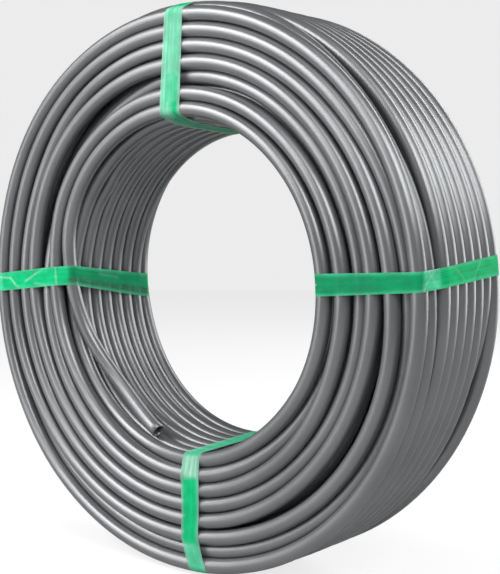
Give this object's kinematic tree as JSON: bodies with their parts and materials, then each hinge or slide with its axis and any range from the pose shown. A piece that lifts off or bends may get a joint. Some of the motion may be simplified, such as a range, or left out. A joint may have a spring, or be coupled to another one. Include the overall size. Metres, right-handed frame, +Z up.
{
  "type": "coil of plastic pipe",
  "caption": "Bound coil of silver-grey plastic water pipe standing on its rim, held by four bands of green tape, with its inner end free in the bore.",
  "frame": {"origin": "on the ground under the middle of the coil, as it stands on its rim", "axes": "+Y along the coil's axis towards its back face, +Z up, +X to the right seen from the front face"},
  "size_m": [0.6075, 0.1448, 0.6074],
  "materials": {
    "pipe": "satin silver-grey",
    "tape": "thin glossy green tape"
  },
  "bodies": {
    "root": {"pipe_coil": "pipe", "strap_right": "tape", "strap_top": "tape", "strap_left": "tape", "strap_bottom": "tape"}
  },
  "joints": []
}
